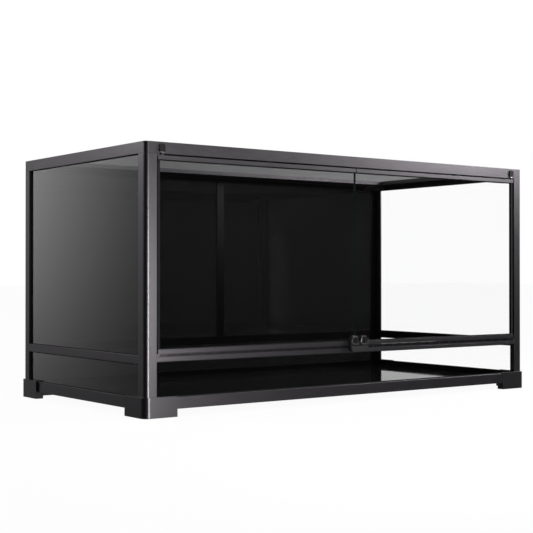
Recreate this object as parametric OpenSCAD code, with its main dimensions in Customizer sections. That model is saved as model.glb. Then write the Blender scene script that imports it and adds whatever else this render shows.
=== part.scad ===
// Front-opening glass terrarium in a frame of aluminium profiles.
// Millimetres, +Z up. The origin lies on the ground at the centre of the footprint.
// The doors face -Y, and left and right are as seen from the front.

/* [Overall] */
// Width over the outer faces of the two side walls
frame_w = 1220; // [900:10:1500]
// Depth over the outer faces of the front and the back
frame_d = 612; // [450:2:800]
// Height from the ground to the top of the frame
frame_h = 610; // [500:5:900]

/* [Frame profiles] */
// Length of a post's leg along each of its two walls
post_leg = 30; // [28:1:36]
// Thickness of the posts, the rails and the back mullion
wall_t = 13; // [12.5:0.5:15]
// Radius of a post's outer edge
post_r = 10; // [4:0.5:11]
// Height of the top rails
top_rail_h = 26; // [25:1:36]
// Height of the narrow lower part of the top rails
cap_up = 10; // [8:0.5:12]
// Width of the top rails above that part
cap_w = 22; // [18:1:26]
// Height of the bottom rails
bottom_rail_h = 26.5; // [25:0.5:36]
// Height of the middle rails of the sides and the back
mid_rail_h = 19.5; // [18:0.5:30]
// Underside of the middle rails above the ground
mid_rail_z = 118; // [100:1:180]
// Width of the upright in the middle of the back
mullion_w = 23; // [20:1:40]
// Bevel along the outer edges of the lower rails
edge_bevel = 0.8; // [0.3:0.1:1.5]
// Width of the square chamber inside a post
chamber_w = 7.5; // [6:0.5:8]
// Inner wall between a post's chamber and the inside of its legs
chamber_inner = 1; // [0.8:0.1:1.5]
// Wall left round the chamber of a rail
chamber_wall = 3; // [2:0.5:4]
// Joint line between two pieces of the frame
seam = 0.3; // [0.1:0.1:0.6]

/* [Top corners] */
// Length of a top corner's legs along the rails
corner_leg = 57; // [54:1:80]
// Length of the spigots that plug into the rails
rail_spigot = 25; // [10:1:40]
// Length of the spigots that plug into the posts
post_spigot = 20; // [10:1:40]
// Play round a spigot in its chamber
spigot_play = 0.2; // [0.1:0.05:0.4]

/* [Glazing] */
// Distance from a wall's outer face to its glazing groove
groove_in = 5.5; // [4.5:0.25:6]
// Depth of the glazing grooves
groove_depth = 7; // [5:0.5:7.5]
// Thickness of the panes and the back panels
pane_t = 5; // [4:0.25:5.5]
// Play on each face of a pane in its groove
pane_play = 0.2; // [0.1:0.05:0.4]
// Play between a pane's edge and the bottom of its groove
edge_play = 0.5; // [0.3:0.1:1]

/* [Floor and feet] */
// Top of the floor panel above the ground
floor_z = 28.5; // [26:0.5:32]
// Thickness of the floor panel
floor_t = 5; // [3:0.5:6]
// Play round the floor panel
floor_play = 0.5; // [0.3:0.1:1]
// Width of the ledges that carry the floor panel and the lid
ledge_w = 8; // [5:0.5:12]
// Thickness of those ledges
ledge_t = 2; // [1.5:0.25:2.5]
// Height of a foot below the bottom rails
foot_base_h = 17; // [12:0.5:22]
// Height to which a foot laps up over the rails
foot_lap = 29; // [20:0.5:40]
// Length of a foot's legs from the corner of the frame
foot_leg = 81; // [60:1:120]
// How far a foot stands proud of the frame
foot_proud = 5; // [3:0.5:8]
// Depth of a foot's base in from the frame's outer face
foot_depth = 15; // [13:0.5:25]
// Play between a foot's skirt and the frame
skirt_play = 0.1; // [0.05:0.05:0.3]
// Distance of a foot screw from the corner of the frame
foot_screw_x = 55; // [45:1:58]
// Diameter of a foot screw's shank
foot_screw_d = 4; // [3:0.5:5]
// Diameter of a foot screw's head
foot_screw_head_d = 8; // [6:0.5:8.5]
// Height of a foot screw's head
foot_screw_head_h = 3; // [2:0.25:4]
// Depth of the recess for a foot screw's head
foot_screw_sink = 10; // [6:0.5:10.5]
// How far a foot screw reaches into its rail
foot_screw_bite = 5; // [4:0.5:8]
// Radial play round a screw in its hole
screw_play = 0.1; // [0.05:0.05:0.2]

/* [Vent rail] */
// Underside of the vent rail above the ground
vent_z = 123.3; // [110:0.1:160]
// Height of the vent rail's closed lower part
vent_base_h = 9.7; // [9:0.1:16]
// Height of the grille that shows above that part
vent_grille_h = 8; // [7:0.5:14]
// Thickness of the grille
grille_t = 1.6; // [1:0.1:2.5]
// How far the grille laps down into the rail
grille_lap = 2; // [1:0.25:3]
// Thickness of the vent rail's upright at the back
vent_back_t = 2; // [1.5:0.25:3]
// Pitch of the slanted slots
slot_pitch = 5.15; // [4.5:0.05:8]
// Slots in a group
slot_run = 6; // [2:1:12]
// How much wider the land between two groups is than the land between slots
slot_gap = 2.4; // [1:0.1:6]
// Width of a slot
slot_w = 3.4; // [1.5:0.1:3.6]
// Land left above and below the slots
slot_land = 0.7; // [0.4:0.1:1.2]
// Lean of the slots from upright, in degrees
slot_lean = 28; // [0:1:40]
// Where the first group starts, from the middle of the rail
slot_start = 23.7; // [20:0.1:40]

/* [Doors] */
// Gap between a door's outer end and its post
door_gap = 3.5; // [2:0.25:5]
// Gap between the two doors
meeting_gap = 2; // [1.5:0.25:4]
// Height of the strips along a door's top and bottom
strip_h = 9; // [8.5:0.25:12]
// Gap between the top strip and the top rail
top_gap = 3.7; // [2:0.1:5]
// Gap between the bottom strip and the vent rail
bottom_gap = 0.4; // [0.3:0.1:1]
// Gap between a closed door and its stops
stop_gap = 0.3; // [0.3:0.1:0.6]
// Distance of the hinge axis from the post
hinge_inset = 13; // [12:0.5:16]
// Diameter of the hinge pins
pin_d = 5; // [4:0.25:5.5]
// Radial play of a hinge pin in its strip
pin_play = 0.05; // [0.02:0.01:0.1]
// How far a hinge pin enters its strip
pin_bite = 3.4; // [2.5:0.1:3.6]
// Depth of a strip's pin hole past the pin's tip
pin_over = 0.3; // [0.2:0.1:0.4]
// How far a door's pane enters its strips
door_bite = 4.5; // [3:0.1:4.6]
// Width of the seal on a door's outer edge
seal_w = 6; // [4:0.5:8]
// Thickness of that seal over the pane
seal_t = 1; // [0.6:0.1:1.5]
// Thickness of the stop strip behind the doors' top
stop_t = 2; // [1.5:0.25:3]
// How far the stops reach past the strips
stop_lap = 1.6; // [1:0.1:3]

/* [Hinge pin slides] */
// Width of a slide's finger plate
slide_w = 15; // [12:0.5:18]
// Height of the finger plate
slide_h = 16.5; // [12:0.5:18]
// Thickness of the finger plate
slide_t = 3; // [2:0.25:4]
// Bottom of the finger plate above the rail's underside
slide_up = 4; // [3:0.25:4.5]
// Upward travel of the slide
slide_travel = 5; // [4.5:0.25:5.25]
// Width of the neck that joins the plate to its pin
neck_w = 6; // [5.5:0.25:8]
// Play of the slide on each face
slide_play = 0.2; // [0.1:0.05:0.3]
// Number of grip ribs on the plate
slide_ribs = 4; // [2:1:5]
// Height of a grip rib above the plate
slide_rib_t = 0.8; // [0.4:0.1:1.2]

/* [Latches] */
// Width of the latch housing on each door
latch_w = 27; // [25:0.5:34]
// Height of the square lower part of a housing
latch_base_h = 9.5; // [8:0.5:12]
// How far the housings stand out from the doors
latch_t = 13; // [12:0.5:16]
// Radius of the round head of a housing
latch_head_r = 10.5; // [10.4:0.1:12]
// Height of the knob's axis above the bottom of the door
knob_up = 12.5; // [12:0.5:16]
// Radius of a knob
knob_r = 8.5; // [6:0.25:8.75]
// How far a knob stands out from its housing
knob_t = 4; // [3:0.25:8]
// Radius of a knob's spindle
spindle_r = 3.8; // [3:0.1:4]
// Play between parts that turn or slide in a latch
latch_play = 0.3; // [0.25:0.05:0.4]
// Width of a knob's thumb bar
thumb_w = 4; // [3:0.25:6]
// Height of a knob's thumb bar
thumb_t = 2; // [1:0.25:3]
// How far the thumb bar ends short of the knob's edge
thumb_inset = 1.7; // [1:0.1:3]
// Width of the bright ring round a knob
bezel_w = 1.5; // [1:0.1:1.6]
// Thickness of that ring
bezel_t = 1.6; // [1:0.1:3]
// Thickness of a housing's front wall
latch_front = 3; // [2:0.25:4]
// Width of a bolt
bolt_w = 4; // [3:0.25:4.25]
// Thickness of a bolt from front to back
bolt_t = 4; // [3:0.25:5]
// Travel of a bolt
bolt_travel = 6; // [4:0.5:7]
// How far a drawn bolt stays inside its housing
bolt_inset = 0.8; // [0.4:0.1:1.2]
// How far a bolt reaches above its knob's axis
bolt_over = 2.5; // [1:0.25:3]
// Gap between the keeper and the housings
keeper_gap = 1.4; // [1:0.1:2]
// Height of the keeper
keeper_h = 15.4; // [14:0.1:16.5]
// Radius of the keeper's lower corners
keeper_r = 12; // [6:0.5:13]
// Play between a bolt and the sides of its slot in the keeper
keeper_play = 1.5; // [0.3:0.1:1.6]

/* [Lid] */
// Top of the lid's ledge below the top of the frame
lid_sink = 12; // [10:0.5:13]
// Play between the lid and the rails
lid_play = 1; // [0.5:0.1:2]
// Play under the lid
lid_lift = 0.2; // [0.1:0.05:0.3]
// Width of the lid's border at the front and sides
lid_border = 17; // [15:1:40]
// Width of the lid's border at the back
lid_border_back = 48; // [20:1:80]
// Depth of the screen's seat below the top of the lid
screen_sink = 1.6; // [1.2:0.1:3]
// Thickness of the screen
screen_t = 0.8; // [0.5:0.1:1]
// Width of the seat round the screen
screen_seat = 6; // [3:0.5:10]
// Play round the screen in its seat
screen_play = 0.3; // [0.2:0.1:0.5]

/* [Hidden] */
$fn = 64;

// Amount by which a cut runs past the face that it opens
cut = 1;

// Levels above the ground
bottom_rail_z = foot_base_h;
bottom_rail_top = bottom_rail_z + bottom_rail_h;
mid_rail_top = mid_rail_z + mid_rail_h;
top_rail_z = frame_h - top_rail_h;
cap_z = top_rail_z + cap_up;
vent_base_top = vent_z + vent_base_h;
vent_top = vent_base_top + vent_grille_h;
vent_mid = (vent_base_top + vent_top) / 2;
floor_ledge_z = floor_z - floor_t;
lid_z = frame_h - lid_sink;

// Grooves and chambers
groove_w = pane_t + 2 * pane_play;
pane_in = groove_in + pane_play;
pane_bite = groove_depth - edge_play;
chamber_at = wall_t - chamber_inner - chamber_w;
rail_chamber_w = wall_t - 2 * chamber_wall;
vent_rail_t = wall_t + vent_back_t;

// Half sizes of the frame and of the openings between its posts
half_w = frame_w / 2;
half_d = frame_d / 2;
open_half_w = half_w - post_leg;
open_half_d = half_d - post_leg;

// Doors: the strips are flush with the posts' front and stop short of the stops
strip_t = wall_t - stop_gap;
door_z = vent_top + bottom_gap;
door_top = top_rail_z - top_gap;
door_outer = open_half_w - door_gap;
door_inner = meeting_gap / 2;
hinge_x = open_half_w - hinge_inset;
hinge_y = strip_t / 2;
door_pane_in = (strip_t - pane_t) / 2;
heel_r = norm([door_outer - hinge_x, hinge_y]);
stop_half_w = hinge_x - heel_r - door_gap;

// Vent rail: full groups of slots on each side, and the slots that fit beyond them
vent_half = open_half_w - seam;
group_pitch = slot_run * slot_pitch + slot_gap;
slot_room = vent_half - slot_start - slot_pitch;
full_groups = floor(slot_room / group_pitch);
spare_slots = floor((slot_room - full_groups * group_pitch - slot_gap / 2) / slot_pitch);
slot_count = full_groups * slot_run + min(max(spare_slots, 0), slot_run);
pin_hole_depth = pin_bite + pin_over;

// Latches, measured from the middle of the front
latch_outer = door_inner + latch_w;
knob_x = (door_inner + latch_outer) / 2;
knob_z = door_z + knob_up;
bolt_x = knob_x - spindle_r - latch_play - bolt_w / 2;
bolt_y = latch_front + latch_play + bolt_t / 2;
bolt_z = door_z + bolt_inset;
bolt_top = knob_z + bolt_over;
keeper_top = door_z - keeper_gap;

// Lid opening, measured from the centre of the frame
lid_half_w = half_w - cap_w - lid_play;
lid_front = half_d - cap_w - lid_play;
screen_half_w = lid_half_w - lid_border;
screen_front = lid_front - lid_border;
screen_back = lid_front - lid_border_back;

frame_colour = "#4a484c";
black_colour = "#161617";
glass_colour = [0.75, 0.82, 0.84, 0.3];
bright_colour = "#c9c9cc";

// ---- placing ----

// Turns a piece of the left side into its twin on the right when asked to
module on_side(right) {
    if (right) mirror([1, 0, 0]) children();
    else children();
}

// Turns a piece of the front into its twin at the back when asked to
module on_end(rear) {
    if (rear) mirror([0, 1, 0]) children();
    else children();
}

// Puts a piece drawn round the front-left corner of the frame at any corner
module at_corner(right, rear) {
    on_side(right) on_end(rear) translate([-half_w, -half_d, 0]) children();
}

// Runs a profile along the front; its x is the depth in from the face, its y the height
module along_front(length) {
    translate([-length / 2, -half_d, 0])
        rotate([90, 0, 90]) linear_extrude(length) children();
}

// Runs a profile along the left wall in the same way
module along_left(length) {
    translate([-half_w, length / 2, 0])
        rotate([90, 0, 0]) linear_extrude(length) children();
}

// Stands a front view up; its x is across the front, its y the height, y0 the depth in
module stood_up(y0, depth) {
    translate([0, y0 + depth, 0]) rotate([90, 0, 0]) linear_extrude(depth) children();
}

// A box from its lowest to its highest corner
module span(low, high) {
    translate(low) cube(high - low);
}

// ---- frame profiles ----

// What is cut from a square corner at the origin to round it
module corner_waste(radius) {
    difference() {
        translate([-cut, -cut]) square(radius + cut);
        translate([radius, radius]) circle(radius);
    }
}

// Two legs of the given length and thickness round a corner, with a round outer edge
module corner_legs(leg, thick, low, radius) {
    difference() {
        union() {
            translate([low, low]) square([leg - low, thick - low]);
            translate([low, low]) square([thick - low, leg - low]);
        }
        translate([low, low]) corner_waste(radius);
    }
}

// Glazing groove in the end of the leg that runs along a side wall
module side_groove() {
    translate([groove_in, post_leg - groove_depth]) square([groove_w, groove_depth + cut]);
}

// Glazing groove in the end of the leg that runs along the front or the back
module end_groove() {
    translate([post_leg - groove_depth, groove_in]) square([groove_depth + cut, groove_w]);
}

module post(rear) {
    color(frame_colour)
        difference() {
            translate([0, 0, bottom_rail_z])
                linear_extrude(top_rail_z - seam - bottom_rail_z)
                    difference() {
                        corner_legs(post_leg, wall_t, 0, post_r);
                        translate([chamber_at, chamber_at]) square(chamber_w);
                        side_groove();
                        if (rear) end_groove();
                    }
            if (!rear)
                translate([0, 0, bottom_rail_z - cut])
                    linear_extrude(vent_z + groove_depth - bottom_rail_z + cut) end_groove();
        }
}

// Section of a top rail with its lid ledge; the front one has no groove
module top_rail_profile(grooved) {
    difference() {
        union() {
            translate([0, top_rail_z]) square([wall_t, top_rail_h]);
            translate([0, cap_z]) square([cap_w, frame_h - cap_z]);
            translate([wall_t, lid_z - ledge_t]) square([cap_w + ledge_w - wall_t, ledge_t]);
        }
        if (grooved) translate([groove_in, top_rail_z - cut]) square([groove_w, groove_depth + cut]);
        top_chamber(0);
    }
}

// Chamber of a top rail, or the section of the spigot that fills it
module top_chamber(play) {
    low = cap_z + chamber_wall + play;
    translate([chamber_wall + play, low])
        square([cap_w - 2 * (chamber_wall + play), frame_h - chamber_wall - play - low]);
}

// Section of a bottom rail with its floor ledge
module bottom_rail_profile() {
    groove_floor = bottom_rail_top - groove_depth;
    difference() {
        polygon([
            [0, bottom_rail_z], [wall_t, bottom_rail_z],
            [wall_t, floor_ledge_z - ledge_t], [wall_t + ledge_w, floor_ledge_z - ledge_t],
            [wall_t + ledge_w, floor_ledge_z], [wall_t, floor_ledge_z],
            [wall_t, bottom_rail_top], [edge_bevel, bottom_rail_top],
            [0, bottom_rail_top - edge_bevel]
        ]);
        translate([groove_in, groove_floor]) square([groove_w, groove_depth + cut]);
        translate([chamber_wall, bottom_rail_z + chamber_wall])
            square([rail_chamber_w, bottom_rail_h - groove_depth - 2 * chamber_wall]);
    }
}

// Section of a middle rail, grooved above and below
module mid_rail_profile() {
    difference() {
        polygon([
            [edge_bevel, mid_rail_z], [wall_t, mid_rail_z], [wall_t, mid_rail_top],
            [edge_bevel, mid_rail_top], [0, mid_rail_top - edge_bevel],
            [0, mid_rail_z + edge_bevel]
        ]);
        translate([groove_in, mid_rail_z - cut]) square([groove_w, groove_depth + cut]);
        translate([groove_in, mid_rail_top - groove_depth]) square([groove_w, groove_depth + cut]);
    }
}

// ---- frame pieces ----

module top_rail_long(rear) {
    color(frame_colour)
        on_end(rear) along_front(2 * (half_w - corner_leg - seam)) top_rail_profile(rear);
}

module top_rail_side(right) {
    color(frame_colour)
        on_side(right) along_left(2 * (half_d - corner_leg - seam)) top_rail_profile(true);
}

// Holes for the foot screws through the underside of a rail that runs this far
module foot_screw_holes(reach) {
    for (end = [-1, 1])
        translate([end * (reach - foot_screw_x), 0, bottom_rail_z - cut])
            cylinder(h = chamber_wall + 2 * cut, r = foot_screw_d / 2 + screw_play);
}

module bottom_rail_long(rear) {
    color(frame_colour)
        on_end(rear) difference() {
            along_front(2 * (open_half_w - seam)) bottom_rail_profile();
            translate([0, -half_d + wall_t / 2, 0]) foot_screw_holes(half_w);
        }
}

module bottom_rail_side(right) {
    color(frame_colour)
        on_side(right) difference() {
            along_left(2 * (open_half_d - seam)) bottom_rail_profile();
            translate([-half_w + wall_t / 2, 0, 0]) rotate([0, 0, 90]) foot_screw_holes(half_d);
        }
}

module mid_rail_side(right) {
    color(frame_colour)
        on_side(right) along_left(2 * (open_half_d - seam)) mid_rail_profile();
}

module mid_rail_rear() {
    color(frame_colour)
        on_end(true) along_front(2 * (open_half_w - seam)) mid_rail_profile();
}

// Upright between the two upper back panels, grooved on both edges
module rear_mullion() {
    color(frame_colour)
        on_end(true)
            translate([0, -half_d, mid_rail_top + seam])
                linear_extrude(top_rail_z - mid_rail_top - 2 * seam)
                    difference() {
                        translate([-mullion_w / 2, 0]) square([mullion_w, wall_t]);
                        for (side = [-1, 1])
                            translate([side * (mullion_w + cut) / 2, groove_in + groove_w / 2])
                                square([2 * groove_depth + cut, groove_w], center = true);
                    }
}

// Solid corner that sits on a post and plugs into two rails
module top_corner(rear) {
    color(frame_colour)
        difference() {
            union() {
                translate([0, 0, top_rail_z])
                    linear_extrude(top_rail_h) corner_legs(corner_leg, wall_t, 0, post_r);
                translate([0, 0, cap_z])
                    linear_extrude(frame_h - cap_z) corner_legs(corner_leg, cap_w, 0, post_r);
                translate([0, 0, lid_z - ledge_t])
                    linear_extrude(ledge_t) corner_legs(corner_leg, cap_w + ledge_w, 0, post_r);
                translate([chamber_at + spigot_play, chamber_at + spigot_play, top_rail_z - post_spigot])
                    linear_extrude(post_spigot + cut) square(chamber_w - 2 * spigot_play);
                translate([corner_leg - cut, 0, 0])
                    rotate([90, 0, 90]) linear_extrude(rail_spigot + cut) top_chamber(spigot_play);
                translate([0, corner_leg + rail_spigot, 0])
                    rotate([90, 0, 0]) linear_extrude(rail_spigot + cut) top_chamber(spigot_play);
            }
            glazing_channel();
            if (rear) mirror([1, -1, 0]) glazing_channel();
            if (!rear) hinge_slide_slot();
        }
}

// Groove for a side pane's top edge, from the post to the rail
module glazing_channel() {
    start = post_leg - groove_depth;
    translate([groove_in, start, top_rail_z - cut])
        cube([groove_w, corner_leg - start + cut, groove_depth + cut]);
}

// Slot in a front corner for the neck and pin of its hinge slide
module hinge_slide_slot() {
    slot_half = neck_w / 2 + slide_play;
    slot_end = hinge_y + pin_d / 2 + slide_play;
    slot_top = top_rail_z + slide_h + slide_travel + slide_play;
    translate([post_leg + hinge_inset - slot_half, -cut, top_rail_z - cut])
        cube([2 * slot_half, slot_end + cut, slot_top - top_rail_z + cut]);
}

// Foot round the bottom of a post, with a skirt over the rails and a spigot into the post
module foot() {
    color(frame_colour) {
        difference() {
            linear_extrude(foot_base_h + foot_lap)
                corner_legs(foot_leg, foot_depth, -foot_proud, post_r + foot_proud);
            translate([0, 0, foot_base_h])
                linear_extrude(foot_lap + cut)
                    corner_legs(foot_leg + cut, foot_depth + cut, -skirt_play, post_r + skirt_play);
            foot_screw_place() {
                translate([0, 0, -cut]) cylinder(h = foot_base_h + 2 * cut, r = foot_screw_d / 2 + screw_play);
                translate([0, 0, -cut])
                    cylinder(h = foot_screw_sink + cut, r = foot_screw_head_d / 2 + screw_play);
            }
        }
        translate([chamber_at + spigot_play, chamber_at + spigot_play, foot_base_h - cut])
            linear_extrude(post_spigot + cut) square(chamber_w - 2 * spigot_play);
    }
}

// The two places in a foot where a screw goes up into a rail
module foot_screw_place() {
    translate([foot_screw_x, wall_t / 2, 0]) children();
    translate([wall_t / 2, foot_screw_x, 0]) children();
}

module foot_screws() {
    color(bright_colour)
        for (right = [false, true], rear = [false, true])
            at_corner(right, rear) foot_screw_place() {
                translate([0, 0, foot_screw_sink - foot_screw_head_h])
                    cylinder(h = foot_screw_head_h, r = foot_screw_head_d / 2);
                translate([0, 0, foot_screw_sink - cut])
                    cylinder(h = foot_base_h + foot_screw_bite - foot_screw_sink + cut, r = foot_screw_d / 2);
            }
}

module floor_panel() {
    low = wall_t + floor_play;
    color(black_colour)
        span([low - half_w, low - half_d, floor_ledge_z], [half_w - low, half_d - low, floor_z]);
}

// ---- panes ----

module side_pane(right, z0, z1) {
    reach = open_half_d + pane_bite;
    color(glass_colour)
        on_side(right)
            span([pane_in - half_w, -reach, z0 - pane_bite],
                 [pane_in + pane_t - half_w, reach, z1 + pane_bite]);
}

// A panel of the back wall between two uprights and two rails
module back_panel(x0, x1, z0, z1) {
    color(black_colour)
        on_end(true)
            span([x0 - pane_bite, pane_in - half_d, z0 - pane_bite],
                 [x1 + pane_bite, pane_in + pane_t - half_d, z1 + pane_bite]);
}

module front_pane_lower() {
    reach = open_half_w + pane_bite;
    color(glass_colour)
        span([-reach, pane_in - half_d, bottom_rail_top - pane_bite],
             [reach, pane_in + pane_t - half_d, vent_z + pane_bite]);
}

// ---- vent rail ----

// Air windows in the vent rail's upright, one behind each run of slots
module air_windows() {
    for (side = [-1, 1], i = [0 : full_groups - 1])
        translate([side * (slot_start + (i + 0.5) * group_pitch), vent_mid])
            square([group_pitch - slot_gap - slot_pitch + slot_w, vent_grille_h - 2 * slot_land],
                   center = true);
}

module vent_rail() {
    length = 2 * vent_half;
    color(frame_colour) {
        along_front(length)
            difference() {
                polygon([
                    [edge_bevel, vent_z], [vent_rail_t, vent_z], [vent_rail_t, vent_base_top],
                    [grille_t, vent_base_top], [grille_t, vent_base_top - grille_lap],
                    [0, vent_base_top - grille_lap], [0, vent_z + edge_bevel]
                ]);
                translate([groove_in, vent_z - cut]) square([groove_w, groove_depth + cut]);
            }
        stood_up(wall_t - half_d, vent_back_t)
            difference() {
                union() {
                    translate([-length / 2, vent_base_top - cut]) square([length, vent_grille_h + cut]);
                    translate([-stop_half_w, vent_top - cut])
                        square([2 * stop_half_w, bottom_gap + strip_h + stop_lap + cut]);
                }
                air_windows();
            }
    }
}

// Distance of a slot from the middle of the rail
function slot_x(i) = slot_start + floor(i / slot_run) * group_pitch
    + slot_gap / 2 + (i % slot_run + 0.5) * slot_pitch;

// A slanted slot round the middle of the grille's height
module vent_slot() {
    half_h = vent_grille_h / 2 - slot_land;
    lean = half_h * tan(slot_lean);
    polygon([
        [-slot_w / 2 - lean, -half_h], [slot_w / 2 - lean, -half_h],
        [slot_w / 2 + lean, half_h], [-slot_w / 2 + lean, half_h]
    ]);
}

// Grille with runs of slanted slots on both sides of the latches
module vent_grille() {
    low = vent_base_top - grille_lap;
    color(frame_colour)
        stood_up(-half_d, grille_t)
            difference() {
                translate([-vent_half, low]) square([2 * vent_half, vent_top - low]);
                for (side = [-1, 1], i = [0 : slot_count - 1])
                    translate([side * slot_x(i), vent_mid]) vent_slot();
            }
}

// Blocks at the ends of the vent rail with the pins that the doors stand on
module lower_pivots() {
    color(black_colour)
        for (right = [false, true])
            on_side(right) {
                span([seam - open_half_w, grille_t + seam - half_d, vent_base_top],
                     [hinge_inset + pin_d - open_half_w, wall_t - seam - half_d, vent_top]);
                translate([-hinge_x, hinge_y - half_d, vent_top - cut])
                    cylinder(h = cut + bottom_gap + pin_bite, r = pin_d / 2);
            }
}

// Black strip behind the top of the doors that they close against
module door_stop_top() {
    color(black_colour)
        span([-stop_half_w, wall_t - half_d, door_top - strip_h - stop_lap],
             [stop_half_w, wall_t + stop_t - half_d, cap_z - seam]);
}

// ---- doors, drawn on the left and mirrored to the right ----

module door_glass(right) {
    color(glass_colour)
        on_side(right)
            span([seal_t - door_outer, door_pane_in - half_d, door_z + strip_h - door_bite],
                 [-door_inner, door_pane_in + pane_t - half_d, door_top - strip_h + door_bite]);
}

// Section of a strip that stands on its open side, from the pane out to the edge
module strip_profile() {
    pocket = door_bite + edge_play / 2;
    difference() {
        square([strip_t, strip_h]);
        translate([door_pane_in - pane_play, -cut]) square([groove_w, pocket + cut]);
    }
}

// A strip with its pane groove below and its hinge hole above
module door_strip() {
    difference() {
        translate([-door_outer, -half_d, 0])
            rotate([90, 0, 90]) linear_extrude(door_outer - door_inner) strip_profile();
        translate([-hinge_x, hinge_y - half_d, strip_h - pin_hole_depth])
            cylinder(h = pin_hole_depth + cut, r = pin_d / 2 + pin_play);
    }
}

module door_top_strip(right) {
    color(frame_colour)
        on_side(right) translate([0, 0, door_top - strip_h]) door_strip();
}

module door_bottom_strip(right) {
    color(frame_colour)
        on_side(right) translate([0, 0, door_z + strip_h]) mirror([0, 0, 1]) door_strip();
}

// Black channel along a door's outer edge, between its two strips
module door_edge_seal(right) {
    low = door_z + strip_h + seam;
    high = door_top - strip_h - seam;
    color(black_colour)
        on_side(right)
            translate([-door_outer, -half_d, low])
                linear_extrude(high - low)
                    difference() {
                        translate([0, door_pane_in - pane_play - seal_t])
                            square([seal_w, groove_w + 2 * seal_t]);
                        translate([seal_t - pane_play, door_pane_in - pane_play])
                            square([seal_w, groove_w]);
                    }
}

// Finger plate on the front of a top corner, with the neck and pin that it lifts
module hinge_slide(right) {
    plate_z = top_rail_z + slide_up;
    neck_top = top_rail_z + slide_h;
    rib_pitch = slide_h / (slide_ribs + 1);
    color(black_colour)
        on_side(right) translate([-hinge_x, -half_d, 0]) {
            span([-slide_w / 2, -slide_play - slide_t, plate_z], [slide_w / 2, -slide_play, plate_z + slide_h]);
            for (i = [1 : slide_ribs])
                span([-slide_w / 2 + slide_rib_t, -slide_play - slide_t - slide_rib_t,
                      plate_z + i * rib_pitch - slide_rib_t],
                     [slide_w / 2 - slide_rib_t, -slide_play - slide_t / 2,
                      plate_z + i * rib_pitch + slide_rib_t]);
            span([-neck_w / 2, -slide_play - slide_t / 2, top_rail_z + slide_play],
                 [neck_w / 2, hinge_y, neck_top]);
            translate([0, hinge_y, door_top - pin_bite])
                cylinder(h = neck_top - door_top + pin_bite, r = pin_d / 2);
        }
}

// ---- latches, drawn on the left and mirrored to the right ----

// Front view of a housing: a block on the strip with a round head
module latch_outline() {
    translate([-latch_outer, door_z]) square([latch_w, latch_base_h]);
    translate([-knob_x, knob_z]) circle(latch_head_r);
}

module latch_housing(right) {
    pocket_half = bolt_w / 2 + latch_play;
    pocket_in = latch_front;
    pocket_out = latch_front + bolt_t + 2 * latch_play;
    color(black_colour)
        on_side(right)
            difference() {
                stood_up(-half_d - latch_t, latch_t) latch_outline();
                translate([-knob_x, -half_d - latch_t - cut, knob_z])
                    rotate([-90, 0, 0])
                        cylinder(h = pocket_out + cut, r = spindle_r + pin_play);
                span([-bolt_x - pocket_half, pocket_in - latch_t - half_d, door_z - cut],
                     [-bolt_x + pocket_half, pocket_out - latch_t - half_d, bolt_top + latch_play]);
            }
}

module latch_bezel(right) {
    inner = knob_r + latch_play;
    color(bright_colour)
        on_side(right)
            translate([-knob_x, -half_d - latch_t, knob_z])
                rotate([90, 0, 0])
                    difference() {
                        cylinder(h = bezel_t, r = inner + bezel_w);
                        translate([0, 0, -cut]) cylinder(h = bezel_t + 2 * cut, r = inner);
                    }
}

// Knob with its thumb bar and the spindle that drives the bolt
module latch_knob(right) {
    color(black_colour)
        on_side(right)
            translate([-knob_x, -half_d - latch_t - latch_play, knob_z])
                rotate([90, 0, 0]) {
                    cylinder(h = knob_t - latch_play, r = knob_r);
                    translate([-thumb_w / 2, thumb_inset - knob_r, 0])
                        cube([thumb_w, 2 * (knob_r - thumb_inset), knob_t - latch_play + thumb_t]);
                    translate([0, 0, -bolt_y - latch_play])
                        cylinder(h = bolt_y + latch_play + cut, r = spindle_r);
                }
}

module latch_bolt(right) {
    color(bright_colour)
        on_side(right)
            span([-bolt_x - bolt_w / 2, bolt_y - bolt_t / 2 - latch_t - half_d, bolt_z],
                 [-bolt_x + bolt_w / 2, bolt_y + bolt_t / 2 - latch_t - half_d, bolt_top]);
}

// Front view of the keeper, with round lower corners
module keeper_outline() {
    low = keeper_top - keeper_h;
    difference() {
        translate([-latch_outer, low]) square([2 * latch_outer, keeper_h]);
        for (right = [false, true])
            on_side(right) translate([-latch_outer, low]) corner_waste(keeper_r);
    }
}

// Keeper on the vent rail, with a slot down through it for each bolt
module latch_keeper() {
    slot_half_w = bolt_w / 2 + keeper_play;
    slot_half_t = bolt_t / 2 + keeper_play;
    slot_y = bolt_y - latch_t - half_d;
    low = keeper_top - keeper_h - cut;
    color(black_colour)
        difference() {
            stood_up(-half_d - latch_t, latch_t) keeper_outline();
            for (side = [-1, 1])
                span([side * bolt_x - slot_half_w, slot_y - slot_half_t, low],
                     [side * bolt_x + slot_half_w, slot_y + slot_half_t, keeper_top + cut]);
        }
}

// ---- lid ----

module lid_frame() {
    low = lid_z + lid_lift;
    seat = frame_h - screen_sink;
    color(frame_colour)
        difference() {
            span([-lid_half_w, -lid_front, low], [lid_half_w, lid_front, frame_h]);
            span([-screen_half_w, -screen_front, low - cut], [screen_half_w, screen_back, frame_h + cut]);
            span([-screen_half_w - screen_seat, -screen_front - screen_seat, seat],
                 [screen_half_w + screen_seat, screen_back + screen_seat, frame_h + cut]);
        }
}

module lid_screen() {
    reach = screen_seat - screen_play;
    seat = frame_h - screen_sink;
    color(bright_colour)
        span([-screen_half_w - reach, -screen_front - reach, seat],
             [screen_half_w + reach, screen_back + reach, seat + screen_t]);
}

// ---- the assembly ----

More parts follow.
